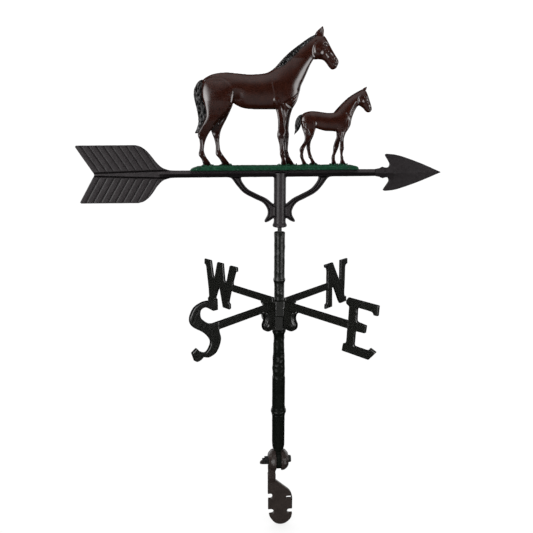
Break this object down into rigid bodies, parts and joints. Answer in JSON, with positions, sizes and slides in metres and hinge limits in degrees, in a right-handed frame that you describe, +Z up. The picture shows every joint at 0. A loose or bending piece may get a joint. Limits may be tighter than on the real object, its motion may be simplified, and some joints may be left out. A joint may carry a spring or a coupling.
{
  "type": "weather vane",
  "caption": "Roof-mount weather vane: mare and foal on a turning arrow, compass letters on crossed arms, beaded pole and swinging slotted feet.",
  "frame": {"origin": "on the back face of the front foot, midway between its two rows of screw slots, with the pole's axis on X = 0, Y = 0", "axes": "+X along the arrow towards its head at rest, +Z up along the pole, +Y out of the front foot's back face"},
  "size_m": [0.5264, 0.2703, 0.8041],
  "materials": {
    "pole_black": "black enamel over a hammered surface",
    "compass_black": "satin black enamel on a plain casting",
    "arrow_charcoal": "satin charcoal enamel on a plain casting",
    "foot_bronze": "satin dark bronze enamel",
    "horse_brown": "gloss dark bay enamel, manes and tails charcoal",
    "turf_green": "gloss dark green enamel",
    "steel": "bright plated steel",
    "dark_steel": "blackened steel",
    "bushing": "natural moulded nylon"
  },
  "bodies": {
    "mast": {"lower_pole": "pole_black", "tie_stud": "steel", "upper_pole": "pole_black", "spindle_pin": "steel", "thrust_ball": "steel", "pivot_bolt": "dark_steel", "pivot_nut": "dark_steel", "pivot_washers": "dark_steel"},
    "vane": {"arrow_frame": "arrow_charcoal", "hub_bushings": "bushing", "arrow_head": "arrow_charcoal", "arrow_head_stud": "steel", "ornament_screws": "steel", "ornament_base": "turf_green", "mare": "horse_brown", "foal": "horse_brown"},
    "compass": {"ns_directional": "compass_black", "ew_directional": "compass_black", "compass_set_screw": "steel"},
    "front_bracket": {"front_foot": "foot_bronze"},
    "rear_bracket": {"rear_foot": "foot_bronze"}
  },
  "joints": [
    {"name": "vane_spin", "type": "hinge", "parent": "mast", "child": "vane", "pos_m": [0, 0, 0.5], "axis": [0, 0, 1], "continuous": true},
    {"name": "compass_turn", "type": "hinge", "parent": "mast", "child": "compass", "pos_m": [0, 0, 0.348], "axis": [0, 0, 1], "continuous": true},
    {"name": "front_foot_swing", "type": "hinge", "parent": "mast", "child": "front_bracket", "pos_m": [0, 0, 0.087], "axis": [-1, 0, 0], "range_deg": [0, 95]},
    {"name": "rear_foot_swing", "type": "hinge", "parent": "mast", "child": "rear_bracket", "pos_m": [0, 0, 0.087], "axis": [1, 0, 0], "range_deg": [-50, 45]}
  ]
}
